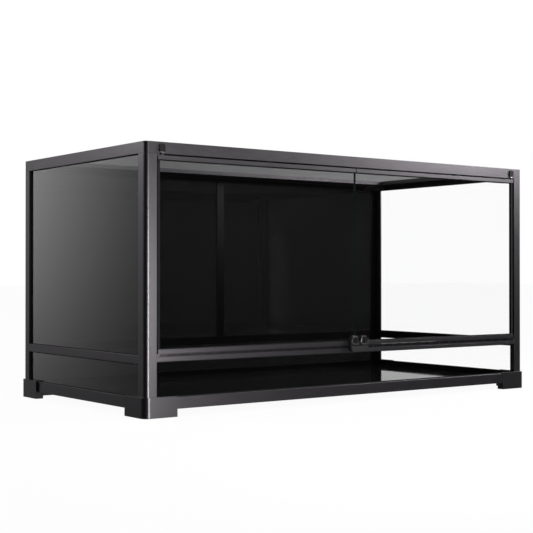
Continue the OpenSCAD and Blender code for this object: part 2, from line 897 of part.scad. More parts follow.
at_corner(false, false) post(false);  // post_front_left
at_corner(true, false) post(false);  // post_front_right
at_corner(false, true) post(true);  // post_rear_left
at_corner(true, true) post(true);  // post_rear_right
at_corner(false, false) top_corner(false);  // top_corner_front_left
at_corner(true, false) top_corner(false);  // top_corner_front_right
at_corner(false, true) top_corner(true);  // top_corner_rear_left
at_corner(true, true) top_corner(true);  // top_corner_rear_right
top_rail_long(false);  // top_rail_front
top_rail_long(true);  // top_rail_rear
top_rail_side(false);  // top_rail_left
top_rail_side(true);  // top_rail_right
bottom_rail_long(false);  // bottom_rail_front
bottom_rail_long(true);  // bottom_rail_rear
bottom_rail_side(false);  // bottom_rail_left
bottom_rail_side(true);  // bottom_rail_right
mid_rail_side(false);  // mid_rail_left
mid_rail_side(true);  // mid_rail_right
mid_rail_rear();
rear_mullion();
at_corner(false, false) foot();  // foot_front_left
at_corner(true, false) foot();  // foot_front_right
at_corner(false, true) foot();  // foot_rear_left
at_corner(true, true) foot();  // foot_rear_right
foot_screws();
floor_panel();
side_pane(false, mid_rail_top, top_rail_z);  // side_pane_left_upper
side_pane(false, bottom_rail_top, mid_rail_z);  // side_pane_left_lower
side_pane(true, mid_rail_top, top_rail_z);  // side_pane_right_upper
side_pane(true, bottom_rail_top, mid_rail_z);  // side_pane_right_lower
back_panel(-open_half_w, -mullion_w / 2, mid_rail_top, top_rail_z);  // back_panel_upper_left
back_panel(mullion_w / 2, open_half_w, mid_rail_top, top_rail_z);  // back_panel_upper_right
back_panel(-open_half_w, open_half_w, bottom_rail_top, mid_rail_z);  // back_panel_lower
front_pane_lower();
vent_rail();
vent_grille();
lower_pivots();
door_stop_top();
door_glass(false);  // door_glass_left
door_glass(true);  // door_glass_right
door_top_strip(false);  // door_top_strip_left
door_top_strip(true);  // door_top_strip_right
door_bottom_strip(false);  // door_bottom_strip_left
door_bottom_strip(true);  // door_bottom_strip_right
door_edge_seal(false);  // door_edge_seal_left
door_edge_seal(true);  // door_edge_seal_right
hinge_slide(false);  // hinge_slide_left
hinge_slide(true);  // hinge_slide_right
latch_keeper();
latch_housing(false);  // latch_housing_left
latch_housing(true);  // latch_housing_right
latch_bezel(false);  // latch_bezel_left
latch_bezel(true);  // latch_bezel_right
latch_knob(false);  // latch_knob_left
latch_knob(true);  // latch_knob_right
latch_bolt(false);  // latch_bolt_left
latch_bolt(true);  // latch_bolt_right
lid_frame();
lid_screen();
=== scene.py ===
"""Dresses the terrarium: metal, glass and plastic finishes, the wire screen, the camera and the studio."""

import logging
import math
from dataclasses import dataclass, field
from enum import Enum

import bmesh
import bpy
from mathutils import Matrix, Vector


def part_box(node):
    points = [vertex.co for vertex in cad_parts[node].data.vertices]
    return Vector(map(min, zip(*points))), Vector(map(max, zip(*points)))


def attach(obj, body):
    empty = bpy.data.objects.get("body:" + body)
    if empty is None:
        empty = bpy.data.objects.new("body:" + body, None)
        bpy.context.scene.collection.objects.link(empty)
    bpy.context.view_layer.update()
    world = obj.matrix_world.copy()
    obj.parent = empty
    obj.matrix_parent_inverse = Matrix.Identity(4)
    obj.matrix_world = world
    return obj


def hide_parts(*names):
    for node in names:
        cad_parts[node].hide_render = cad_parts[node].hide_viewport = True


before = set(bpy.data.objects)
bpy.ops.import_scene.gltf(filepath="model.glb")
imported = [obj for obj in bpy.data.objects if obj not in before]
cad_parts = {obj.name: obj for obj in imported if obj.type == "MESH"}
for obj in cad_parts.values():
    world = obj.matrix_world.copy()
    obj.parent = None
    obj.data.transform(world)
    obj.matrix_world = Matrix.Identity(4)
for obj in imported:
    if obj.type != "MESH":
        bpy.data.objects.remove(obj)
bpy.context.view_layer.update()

MM = 0.001
HALF_FRAME = (610 * MM, 306 * MM)
SIDES = ("left", "right")
# How many times the unshaded depth it takes the painted inner shade to reach full strength.
SHADE_FADE = 3
EDGE_SAMPLES = 4
EDGE_STEPS = 2
LOG = logging.getLogger("terrarium")

Colour = tuple[float, float, float]
Vec3 = tuple[float, float, float]
Band = tuple[float, float]

WHITE: Colour = (1.0, 1.0, 1.0)
EVEN: Vec3 = (1.0, 1.0, 1.0)


class Run(Enum):
    """The direction in which a profile was drawn through its die."""

    X = (1.0, 40.0, 40.0)
    Y = (40.0, 1.0, 40.0)
    Z = (40.0, 40.0, 1.0)


class Facing(Enum):
    """The axis that a pane's broad faces point along."""

    X = "X"
    Y = "Y"


# ---- node tree helpers ----


def new_material(name: str) -> bpy.types.Material:
    """Makes an empty node material.

    Args:
        name: The material's name.

    Returns:
        The material, with nothing in its tree but an output.
    """
    mat = bpy.data.materials.new(name)
    mat.use_nodes = True
    mat.node_tree.nodes.clear()
    mat.node_tree.nodes.new("ShaderNodeOutputMaterial")
    return mat


def add(tree: bpy.types.NodeTree, kind: str, settings: dict | None = None, **sockets: object) -> bpy.types.Node:
    """Adds a node and sets its settings and sockets.

    Args:
        tree: The node tree.
        kind: The node's type, without the leading ShaderNode.
        settings: Attributes of the node itself.
        sockets: Input values or output sockets, by input name with underscores for spaces.

    Returns:
        The new node.
    """
    node = tree.nodes.new("ShaderNode" + kind)
    for key, value in (settings or {}).items():
        setattr(node, key, value)
    for key, value in sockets.items():
        put(tree, node, key.replace("_", " "), value)
    return node


def put(tree: bpy.types.NodeTree, node: bpy.types.Node, key: str | int, value: object) -> None:
    """Links or sets one input.

    Args:
        tree: The node tree.
        node: The node that has the input.
        key: The input's name or number.
        value: An output socket to link, or a plain value.
    """
    if isinstance(value, bpy.types.NodeSocket):
        tree.links.new(value, node.inputs[key])
    elif isinstance(value, tuple) and len(value) == 3 and node.inputs[key].type == "RGBA":
        node.inputs[key].default_value = (*value, 1.0)
    else:
        node.inputs[key].default_value = value


def calc(tree: bpy.types.NodeTree, operation: str, *values: object) -> bpy.types.NodeSocket:
    """Adds a Math node.

    Args:
        tree: The node tree.
        operation: The Math operation.
        values: Its inputs, in order.

    Returns:
        The result's socket.
    """
    node = add(tree, "Math", {"operation": operation})
    for i, value in enumerate(values):
        put(tree, node, i, value)
    return node.outputs[0]


def product(tree: bpy.types.NodeTree, first: object, *others: object) -> bpy.types.NodeSocket:
    """Multiplies two values or more.

    Args:
        tree: The node tree.
        first: The first value.
        others: The other values.

    Returns:
        The product's socket.
    """
    for other in others:
        first = calc(tree, "MULTIPLY", first, other)
    return first


def ramp(
    tree: bpy.types.NodeTree, value: object, low: float, high: float, start: float, end: float,
) -> bpy.types.NodeSocket:
    """Maps a value smoothly from one range to another.

    Args:
        tree: The node tree.
        value: The socket to map.
        low: The value that gives start.
        high: The value that gives end.
        start: The result at low and below.
        end: The result at high and above.

    Returns:
        The result's socket.
    """
    node = add(tree, "MapRange", {"interpolation_type": "SMOOTHSTEP"})
    for key, number in (("Value", value), ("From Min", low), ("From Max", high), ("To Min", start), ("To Max", end)):
        put(tree, node, key, number)
    return node.outputs["Result"]


@dataclass(frozen=True)
class Noise:
    """A cloudy pattern on Object coordinates.

    Attributes:
        scale: Its scale, per metre.
        detail: How many finer layers it has.
    """

    scale: float
    detail: float

    def value(self, tree: bpy.types.NodeTree, stretch: Vec3 = EVEN) -> bpy.types.NodeSocket:
        """Builds the noise.

        Args:
            tree: The node tree.
            stretch: How much the coordinates are multiplied along each axis.

        Returns:
            Its value's socket, around 0.5.
        """
        place = add(tree, "TexCoord").outputs["Object"]
        mapped = add(tree, "Mapping", Vector=place, Scale=stretch).outputs[0]
        return add(tree, "TexNoise", Vector=mapped, Scale=self.scale, Detail=self.detail).outputs["Fac"]


def varied(
    tree: bpy.types.NodeTree, colour: Colour, spread: float, cloud: bpy.types.NodeSocket,
) -> bpy.types.NodeSocket:
    """Makes a colour lighter and darker along a noise.

    Args:
        tree: The node tree.
        colour: The mean colour.
        spread: How far it goes to either side, as a share of it.
        cloud: The noise.

    Returns:
        The colour's socket.
    """
    tone = add(tree, "MixRGB", Fac=cloud)
    put(tree, tone, "Color1", tuple(part * (1.0 - spread) for part in colour))
    put(tree, tone, "Color2", tuple(part * (1.0 + spread) for part in colour))
    return tone.outputs[0]


def painted_inner_shade(tree: bpy.types.NodeTree, unshaded_depth: float, inner: float) -> bpy.types.NodeSocket:
    """Gives painted shade: 1 on the outside of the cabinet and a lower value behind its outer faces, where shade
    falls.

    Args:
        tree: The node tree.
        unshaded_depth: How far in from the outer faces the colour stays free of painted shade, in metres; the shade
            is fullest at SHADE_FADE times that.
        inner: The share of the colour left where the painted shade is fullest.

    Returns:
        The value's socket.
    """
    # Painted shade: the deeper a point lies behind the cabinet's outer planes, the darker its colour.
    place = add(tree, "SeparateXYZ", Vector=add(tree, "TexCoord").outputs["Object"])
    aside = calc(tree, "SUBTRACT", HALF_FRAME[0], calc(tree, "ABSOLUTE", place.outputs["X"]))
    back = calc(tree, "SUBTRACT", HALF_FRAME[1], calc(tree, "ABSOLUTE", place.outputs["Y"]))
    depth = calc(tree, "MINIMUM", aside, back)
    return ramp(tree, depth, unshaded_depth, SHADE_FADE * unshaded_depth, 1.0, inner)


def soft_edge(tree: bpy.types.NodeTree, radius: float) -> bpy.types.NodeSocket:
    """Gives normals that round the edges off.

    Args:
        tree: The node tree.
        radius: The edges' radius, in metres.

    Returns:
        The normals' socket.
    """
    return add(tree, "Bevel", {"samples": EDGE_SAMPLES}, Radius=radius).outputs["Normal"]


def seen_itself(tree: bpy.types.NodeTree) -> bpy.types.NodeSocket:
    """Gives 1 to the rays that show a background as it is: the camera's and those that glass bends."""
    path = add(tree, "LightPath")
    return calc(tree, "MAXIMUM", path.outputs["Is Camera Ray"], path.outputs["Is Transmission Ray"])


def blend(tree: bpy.types.NodeTree, share: object, first: bpy.types.Node, second: bpy.types.Node) -> bpy.types.Node:
    """Mixes two shaders.

    Args:
        tree: The node tree.
        share: The second shader's share.
        first: The node of the first shader.
        second: The node of the second shader.

    Returns:
        The node of the mixed shader.
    """
    mixed = add(tree, "MixShader", Fac=share)
    put(tree, mixed, 1, first.outputs[0])
    put(tree, mixed, 2, second.outputs[0])
    return mixed


def shade(mat: bpy.types.Material, surface: bpy.types.NodeSocket) -> bpy.types.Material:
    """Connects a shader to the material's output.

    Args:
        mat: The material.
        surface: The shader's socket.

    Returns:
        The material.
    """
    output = mat.node_tree.nodes["Material Output"]
    mat.node_tree.links.new(surface, output.inputs["Surface"])
    return mat


# ---- finishes ----


@dataclass(frozen=True)
class SatinMetal:
    """Anodised or drawn metal with faint lines along its profile, and painted shade that darkens its colour on the
    cabinet's inner faces.

    Attributes:
        name: The material's name.
        colour: The metal's colour.
        roughness: Its mean roughness.
        run: The direction of the drawn lines.
        spread: How far the roughness varies to either side.
        band: The part of the lines' noise in which it varies.
        lines: The noise of the drawn lines.
        line_height: Their height, in metres.
        relief: The strength of their bump.
        clouds: The noise of the colour.
        mottle: How far the colour varies, as a share of it.
        inside: How much of the colour is left on the cabinet's inner faces under the painted shade there.
        unshaded_depth: How far in from the outer faces the colour stays free of the painted shade, in metres.
        edge: The radius of its edges, in metres.
    """

    name: str
    colour: Colour
    roughness: float
    run: Run = Run.X
    spread: float = 0.05
    band: Band = (0.3, 0.7)
    lines: Noise = Noise(60.0, 4.0)
    line_height: float = 0.01 * MM
    relief: float = 0.25
    clouds: Noise = Noise(9.0, 2.0)
    mottle: float = 0.07
    inside: float = 1.0
    unshaded_depth: float = 2 * MM
    edge: float = 0.4 * MM

    def material(self) -> bpy.types.Material:
        """Builds the material.

        Returns:
            The material.
        """
        mat = new_material(self.name)
        tree = mat.node_tree
        lines = self.lines.value(tree, self.run.value)
        tone = varied(tree, self.colour, self.mottle, self.clouds.value(tree))
        # Painted shade: the colour is darkened on faces behind the cabinet's outer planes.
        if self.inside < 1.0:
            shaded_tone = add(tree, "VectorMath", {"operation": "SCALE"}, Scale=painted_inner_shade(tree, self.unshaded_depth, self.inside))
            put(tree, shaded_tone, 0, tone)
            tone = shaded_tone.outputs[0]
        rough = ramp(tree, lines, *self.band, self.roughness - self.spread, self.roughness + self.spread)
        bump = add(tree, "Bump", Strength=self.relief, Distance=self.line_height, Height=lines)
        if self.edge:
            put(tree, bump, "Normal", soft_edge(tree, self.edge))
        shader = add(tree, "BsdfPrincipled", Base_Color=tone, Metallic=1.0, Roughness=rough, Normal=bump.outputs[0])
        return shade(mat, shader.outputs[0])


@dataclass(frozen=True)
class Moulded:
    """Moulded plastic, rubber or metallic paint with a fine grain.

    Attributes:
        name: The material's name.
        colour: The surface's colour.
        roughness: Its mean roughness.
        spread: How far the roughness varies to either side.
        band: The part of the grain's noise in which it varies.
        grain: The grain's noise.
        height: The grain's height, in metres.
        relief: The strength of its bump.
        clouds: The noise of the colour.
        mottle: How far the colour varies, as a share of it.
        shine: The shader's specular level.
        metallic: How metallic the surface is, for a metallic paint.
        edge: The radius of its edges, in metres.
    """

    name: str
    colour: Colour
    roughness: float
    spread: float = 0.06
    band: Band = (0.25, 0.75)
    grain: Noise = Noise(1800.0, 2.0)
    height: float = 0.03 * MM
    relief: float = 0.4
    clouds: Noise = Noise(14.0, 3.0)
    mottle: float = 0.1
    shine: float = 0.5
    metallic: float = 0.0
    edge: float = 0.4 * MM

    def material(self) -> bpy.types.Material:
        """Builds the material.

        Returns:
            The material.
        """
        mat = new_material(self.name)
        tree = mat.node_tree
        grain = self.grain.value(tree)
        tone = varied(tree, self.colour, self.mottle, self.clouds.value(tree))
        rough = ramp(tree, grain, *self.band, self.roughness - self.spread, self.roughness + self.spread)
        bump = add(tree, "Bump", Strength=self.relief, Distance=self.height, Height=grain)
        if self.edge:
            put(tree, bump, "Normal", soft_edge(tree, self.edge))
        shader = add(
            tree, "BsdfPrincipled", Base_Color=tone, Metallic=self.metallic, Roughness=rough,
            Specular_IOR_Level=self.shine, Normal=bump.outputs[0],
        )
        return shade(mat, shader.outputs[0])


@dataclass(frozen=True)
class GlossPanel:
    """Black sheet with a mirror gloss and faint smears.

    Attributes:
        name: The material's name.
        colour: The sheet's colour.
        roughness: The roughness of a clean part.
        smear: What a smear adds to the roughness.
        band: The part of the noise in which the smears begin and end.
        clouds: The noise of the smears and the colour.
        mottle: How far the colour varies, as a share of it.
        ior: The gloss layer's index of refraction.
    """

    name: str
    colour: Colour
    roughness: float = 0.02
    smear: float = 0.05
    band: Band = (0.35, 0.8)
    clouds: Noise = Noise(3.0, 5.0)
    mottle: float = 0.15
    ior: float = 1.5

    def material(self) -> bpy.types.Material:
        """Builds the material.

        Returns:
            The material.
        """
        mat = new_material(self.name)
        tree = mat.node_tree
        cloud = self.clouds.value(tree)
        rough = ramp(tree, cloud, *self.band, self.roughness, self.roughness + self.smear)
        tone = varied(tree, self.colour, self.mottle, cloud)
        shader = add(tree, "BsdfPrincipled", Base_Color=tone, Roughness=rough, IOR=self.ior)
        return shade(mat, shader.outputs[0])


@dataclass(frozen=True)
class PaneGlass:
    """Clear pane that mirrors mostly at its outer face and has ground edges.

    Attributes:
        name: The material's name.
        facing: The axis that the broad faces point along.
        tint: What one face lets through.
        ior: The glass's index of refraction.
        inner: The share of the outer face's gloss that the inner face has.
        shade: What one face lets through of a lamp's light.
        veil: What one face lets through of what gloss behind it mirrors.
        smear: The roughness of a smear.
        band: The part of the noise in which the smears begin and end.
        clouds: The noise of the smears.
        broad: How squarely a face looks along the axis to count as a broad face.
        edge: The colour of the ground edges.
        edge_roughness: Their roughness.
    """

    name: str
    facing: Facing
    tint: Colour = (0.9985, 0.9995, 0.999)
    ior: float = 1.4
    inner: float = 0.1
    shade: float = 0.5
    veil: float = 0.7
    smear: float = 0.06
    band: Band = (0.4, 0.9)
    clouds: Noise = Noise(4.0, 5.0)
    broad: float = 0.5
    edge: Colour = (0.012, 0.02, 0.018)
    edge_roughness: float = 0.25

    def material(self) -> bpy.types.Material:
        """Builds the material.

        Returns:
            The material.
        """
        mat = new_material(self.name)
        tree = mat.node_tree
        axis = self.facing.value
        coords = add(tree, "TexCoord")
        normal = add(tree, "SeparateXYZ", Vector=coords.outputs["Normal"]).outputs[axis]
        place = add(tree, "SeparateXYZ", Vector=coords.outputs["Object"]).outputs[axis]
        on_face = calc(tree, "GREATER_THAN", calc(tree, "ABSOLUTE", normal), self.broad)
        outer = calc(tree, "GREATER_THAN", product(tree, normal, place), 0.0)
        near = calc(tree, "SUBTRACT", 1.0, add(tree, "NewGeometry").outputs["Backfacing"])
        fresnel = add(tree, "Fresnel", IOR=self.ior).outputs[0]
        both_faces = calc(tree, "DIVIDE", product(tree, fresnel, 2.0), calc(tree, "ADD", fresnel, 1.0))
        mirrored = product(tree, both_faces, near, ramp(tree, outer, 0.0, 1.0, self.inner, 1.0))
        smear = ramp(tree, self.clouds.value(tree), *self.band, 0.0, self.smear)
        gloss = add(tree, "BsdfGlossy", Color=WHITE, Roughness=smear)
        face = blend(tree, mirrored, add(tree, "BsdfTransparent", Color=self.let_through(tree)), gloss)
        rim = add(tree, "BsdfPrincipled", Base_Color=self.edge, Roughness=self.edge_roughness)
        return shade(mat, blend(tree, on_face, rim, face).outputs[0])

    def let_through(self, tree: bpy.types.NodeTree) -> bpy.types.NodeSocket:
        """Chooses what the glass lets through by the kind of ray.

        Args:
            tree: The node tree.

        Returns:
            The colour's socket.
        """
        path = add(tree, "LightPath")
        sight = add(tree, "MixRGB", Fac=path.outputs["Is Glossy Ray"], Color1=self.tint, Color2=(self.veil,) * 3)
        light = add(tree, "MixRGB", Fac=path.outputs["Is Shadow Ray"], Color2=(self.shade,) * 3)
        put(tree, light, "Color1", sight.outputs[0])
        return light.outputs[0]


FRAME_TONE: Colour = (0.17, 0.16, 0.172)
CORNER_TONE: Colour = (0.165, 0.156, 0.168)

# The frame finishes darken their colour to a quarter on the cabinet's inner faces, as painted shade.
FRAME_X = SatinMetal("frame_metal_x", FRAME_TONE, 0.36, Run.X, inside=0.25)
FRAME_Y = SatinMetal("frame_metal_y", FRAME_TONE, 0.36, Run.Y, inside=0.25)
FRAME_Z = SatinMetal("frame_metal_z", FRAME_TONE, 0.36, Run.Z, inside=0.25)
# A copy of the frame finish painted almost black behind the grille's front face, as the shade in its slots.
GRILLE_SHADED = SatinMetal("grille_metal_shaded", FRAME_TONE, 0.36, Run.X, inside=0.03, unshaded_depth=0.1 * MM, edge=0.0)
LID_METAL = SatinMetal("lid_metal", FRAME_TONE, 0.42, Run.X)
CORNER = Moulded("corner_metallic", CORNER_TONE, 0.36, metallic=1.0, height=0.02 * MM)
BLACK_PANEL = GlossPanel("black_panel", (0.013, 0.013, 0.0135))
BLACK_PLASTIC = Moulded("black_plastic", (0.012, 0.012, 0.013), 0.38)
LATCH_BLACK = Moulded("latch_black", (0.008, 0.008, 0.0082), 0.55, shine=0.15)
SLIDE_BLACK = Moulded("slide_black", (0.016, 0.0145, 0.014), 0.5, shine=0.25)
SEAL = Moulded("black_seal", (0.01, 0.01, 0.01), 0.75, shine=0.25)
STEEL = SatinMetal("plain_steel", (0.6, 0.6, 0.62), 0.3, Run.Z)
CHROME = SatinMetal("bright_ring", (0.82, 0.82, 0.84), 0.14, Run.Y, spread=0.03)
# A black insect mesh whose near-black tone is partly painted shade for the vent slots.
MESH_CLOTH_AND_SHADE = Moulded(
    "vent_mesh_cloth_and_shade", (0.004, 0.004, 0.004), 0.7, grain=Noise(900.0, 2.0), height=0.2 * MM, shine=0.1, edge=0.0,
)
LATCH_PLATE = SatinMetal("latch_plate", (0.15, 0.144, 0.15), 0.42, Run.X, edge=0.0)
WIRE = Moulded("screen_wire", (0.195, 0.195, 0.198), 0.55, metallic=0.3, height=0.01 * MM, edge=0.0)
GLASS_X = PaneGlass("pane_glass_x", Facing.X, ior=1.56)
GLASS_Y = PaneGlass("pane_glass_y", Facing.Y, ior=1.2)

Finish = SatinMetal | Moulded | GlossPanel | PaneGlass


# ---- mesh helpers ----


def block(bm: bmesh.types.BMesh, low: Vec3 | Vector, high: Vec3 | Vector, soft: float = 0.0) -> None:
    """Adds a box with softened edges.

    Args:
        bm: The mesh to add it to.
        low: Its lowest corner, in metres.
        high: Its highest corner, in metres.
        soft: The radius of its edges, in metres, or 0 to leave them sharp.
    """
    low, high = Vector(low), Vector(high)
    place = Matrix.Translation((low + high) / 2) @ Matrix.Diagonal((*(high - low), 1.0))
    verts = bmesh.ops.create_cube(bm, size=1.0, matrix=place)["verts"]
    if soft:
        edges = list({edge for vert in verts for edge in vert.link_edges})
        bmesh.ops.bevel(
            bm, geom=edges, offset=soft, segments=EDGE_STEPS, profile=0.5, affect="EDGES", material=-1,
        )


def finished(bm: bmesh.types.BMesh, name: str) -> bpy.types.Object:
    """Turns a bmesh into an object of the scene.

    Args:
        bm: The mesh, which is freed.
        name: The object's name.

    Returns:
        The new object, at the origin.
    """
    bmesh.ops.recalc_face_normals(bm, faces=bm.faces)
    mesh = bpy.data.meshes.new(name)
    bm.to_mesh(mesh)
    bm.free()
    obj = bpy.data.objects.new(name, mesh)
    bpy.context.scene.collection.objects.link(obj)
    return obj


# ---- sub-assemblies ----


@dataclass
class Dresser:
    """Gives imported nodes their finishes.

    Attributes:
        made: The materials made so far, by name.
    """

    made: dict[str, bpy.types.Material] = field(default_factory=dict)

    def material(self, finish: Finish) -> bpy.types.Material:
        """Finds a finish's material, and makes it on first use.

        Args:
            finish: The finish.

        Returns:
            Its material.
        """
        if finish.name not in self.made:
            self.made[finish.name] = finish.material()
        return self.made[finish.name]

    def dress(self, obj: bpy.types.Object, finish: Finish) -> None:
        """Puts one finish on an object.

        Args:
            obj: The object.
            finish: Its finish.
        """
        mat = self.material(finish)
        if not obj.material_slots:
            obj.data.materials.append(mat)
        for slot in obj.material_slots:
            slot.link = "OBJECT"
            slot.material = mat

    def dress_nodes(self, finish: Finish, *names: str) -> None:
        """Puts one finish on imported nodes.

        Args:
            finish: The finish.
            names: The nodes' names.
        """
        for name in names:
            self.dress(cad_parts[name], finish)
            LOG.info("%s: %s", name, finish.name)

    def fit(self, bm: bmesh.types.BMesh, name: str, finish: Finish, body: str, slot: str, node: str = "") -> None:
        """Turns a mesh into a finished piece that rides on a body.

        Args:
            bm: The mesh.
            name: The piece's name.
            finish: Its finish.
            body: The body that it rides on.
            slot: The material slot of the record that it stands for; not used.
            node: The node that it replaces, where it does.
        """
        obj = finished(bm, name)
        self.dress(obj, finish)
        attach(obj, body)
        if node:
            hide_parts(node)
        LOG.info("%s: %d faces", name, len(obj.data.polygons))


def both(stem: str) -> list[str]:
    """Returns the names of a left and right pair of nodes."""
    return [f"{stem}_{side}" for side in SIDES]


def corners(stem: str) -> list[str]:
    """Returns the names of the four nodes at the corners."""
    return [f"{stem}_{end}_{side}" for end in ("front", "rear") for side in SIDES]


@dataclass
class Cabinet:
    """The fixed frame, its panes and its floor.

    Attributes:
        dresser: What gives the finishes.
    """

    dresser: Dresser

    def build(self) -> None:
        """Dresses the frame."""
        d = self.dresser
        d.dress_nodes(FRAME_Z, *corners("post"), "rear_mullion")
        d.dress_nodes(FRAME_X, "top_rail_front", "top_rail_rear", "bottom_rail_front", "bottom_rail_rear")
        d.dress_nodes(FRAME_X, "mid_rail_rear", "vent_rail")
        # The vent grille's slots are painted almost black, as shade.
        d.dress_nodes(GRILLE_SHADED, "vent_grille")
        d.dress_nodes(FRAME_Y, *both("top_rail"), *both("bottom_rail"), *both("mid_rail"))
        d.dress_nodes(CORNER, *corners("top_corner"), *corners("foot"))
        d.dress_nodes(STEEL, "foot_screws")
        d.dress_nodes(BLACK_PANEL, "floor_panel", *both("back_panel_upper"), "back_panel_lower")
        for side in SIDES:
            d.dress_nodes(GLASS_X, f"side_pane_{side}_upper", f"side_pane_{side}_lower")
        d.dress_nodes(GLASS_Y, "front_pane_lower")
        d.dress_nodes(BLACK_PLASTIC, "lower_pivots")
        d.dress_nodes(LATCH_BLACK, "latch_keeper")
        d.dress_nodes(SLIDE_BLACK, *both("hinge_slide"))
        d.dress_nodes(SEAL, "door_stop_top")


@dataclass
class Doors:
    """The two hinged doors and their latches.

    Attributes:
        dresser: What gives the finishes.
    """

    dresser: Dresser

    def build(self) -> None:
        """Dresses the doors."""
        d = self.dresser
        d.dress_nodes(GLASS_Y, *both("door_glass"))
        d.dress_nodes(FRAME_X, *both("door_top_strip"), *both("door_bottom_strip"))
        d.dress_nodes(SEAL, *both("door_edge_seal"))
        d.dress_nodes(LATCH_BLACK, *both("latch_housing"), *both("latch_knob"))
        d.dress_nodes(STEEL, *both("latch_bolt"))


@dataclass
class Lid:
    """The lift-off lid with its wire screen.

    Attributes:
        dresser: What gives the finishes.
        pitch: The distance between wires, in metres.
        gauge: The thickness of a wire, in metres.
        wire_sides: How many sides a wire has.
    """

    dresser: Dresser
    pitch: float = 2.6 * MM
    gauge: float = 0.38 * MM
    wire_sides: int = 4

    def build(self) -> None:
        """Dresses the frame and weaves the screen."""
        self.dresser.dress_nodes(LID_METAL, "lid_frame")
        self.dresser.fit(self.screen(), "screen_wires", WIRE, "lid", "screen_wire", "lid_screen")

    def screen(self) -> bmesh.types.BMesh:
        """Lays wires both ways across the screen's place.

        Returns:
            Their mesh.
        """
        low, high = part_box("lid_screen")
        middle, size = (low + high) / 2, high - low
        lift = Vector((0, 0, self.gauge / 2))
        bm = bmesh.new()
        self.lay(bm, middle + lift, size.x, size.y, Matrix.Identity(3))
        self.lay(bm, middle - lift, size.y, size.x, Matrix.Rotation(math.pi / 2, 3, "Z"))
        return bm

    def lay(self, bm: bmesh.types.BMesh, middle: Vector, across: float, length: float, turn: Matrix) -> None:
        """Lays one row of parallel wires.

        Args:
            bm: The mesh to add them to.
            middle: The middle of the row.
            across: How far the row reaches.
            length: The length of each wire.
            turn: Turns the row from wires along Y.
        """
        count = int(across / self.pitch)
        stand = Matrix.Rotation(math.pi / 2, 4, "X") @ Matrix.Rotation(math.pi / self.wire_sides, 4, "Z")
        for i in range(count + 1):
            offset = Vector(((i - count / 2) * self.pitch, 0, 0))
            place = Matrix.Translation(middle + turn @ offset) @ turn.to_4x4() @ stand
            bmesh.ops.create_cone(
                bm, cap_ends=True, segments=self.wire_sides, radius1=self.gauge / 2,
                radius2=self.gauge / 2, depth=length, matrix=place,
            )


@dataclass
class Gaskets:
    """The rubber lips along the edges of the panes.

    Attributes:
        dresser: What gives the finishes.
        lip: How far a lip reaches over its pane, in metres.
        thick: How thick it is, in metres.
        soft: The radius of its edges, in metres.
        groove: How far a fixed pane reaches into its grooves, in metres.
        strip: How far a door's pane reaches into its strips, in metres.
        from_left: Where a door's lips start from its pane's left edge, in metres.
        from_right: Where they end before its right edge, in metres.
    """

    dresser: Dresser
    lip: float = 1.8 * MM
    thick: float = 1.0 * MM
    soft: float = 0.35 * MM
    groove: float = 6.5 * MM
    strip: float = 4.5 * MM
    from_left: float = 6 * MM
    from_right: float = 1 * MM

    def build(self) -> None:
        """Lays a lip round each pane's opening, on both of its faces."""
        for side in SIDES:
            for level in ("upper", "lower"):
                self.frame_lips(f"side_pane_{side}_{level}", 0)
            self.strip_lips(side)
        for name in ("front_pane_lower", "back_panel_lower", *both("back_panel_upper")):
            self.frame_lips(name, 1)

    def frame_lips(self, name: str, axis: int) -> None:
        """Lays a rectangular lip on both faces of a pane that is held on four sides.

        Args:
            name: The pane's node.
            axis: The number of the axis that its broad faces point along.
        """
        low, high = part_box(name)
        along = 1 - axis
        inner_low, inner_high = low.copy(), high.copy()
        for k in (along, 2):
            inner_low[k] += self.groove
            inner_high[k] -= self.groove
        bm = bmesh.new()
        for face, way in ((low[axis], -1), (high[axis], 1)):
            for k in (along, 2):
                for end, inward in ((inner_low[k], 1), (inner_high[k], -1)):
                    a, b = inner_low.copy(), inner_high.copy()
                    a[k], b[k] = sorted((end, end + inward * self.lip))
                    a[axis], b[axis] = sorted((face, face + way * self.thick))
                    block(bm, a, b, self.soft)
        self.dresser.fit(bm, f"gasket_{name}", SEAL, "cabinet", "black_seal")

    def strip_lips(self, side: str) -> None:
        """Lays straight lips along the top and bottom of a door's pane.

        Args:
            side: left or right.
        """
        low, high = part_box(f"door_glass_{side}")
        bm = bmesh.new()
        for face, way in ((low.y, -1), (high.y, 1)):
            for end, inward in ((low.z + self.strip, 1), (high.z - self.strip, -1)):
                z = sorted((end, end + inward * self.lip))
                y = sorted((face, face + way * self.thick))
                block(bm, (low.x + self.from_left, y[0], z[0]), (high.x - self.from_right, y[1], z[1]), self.soft)
        self.dresser.fit(bm, f"gasket_door_glass_{side}", SEAL, f"door_{side}", "black_seal")


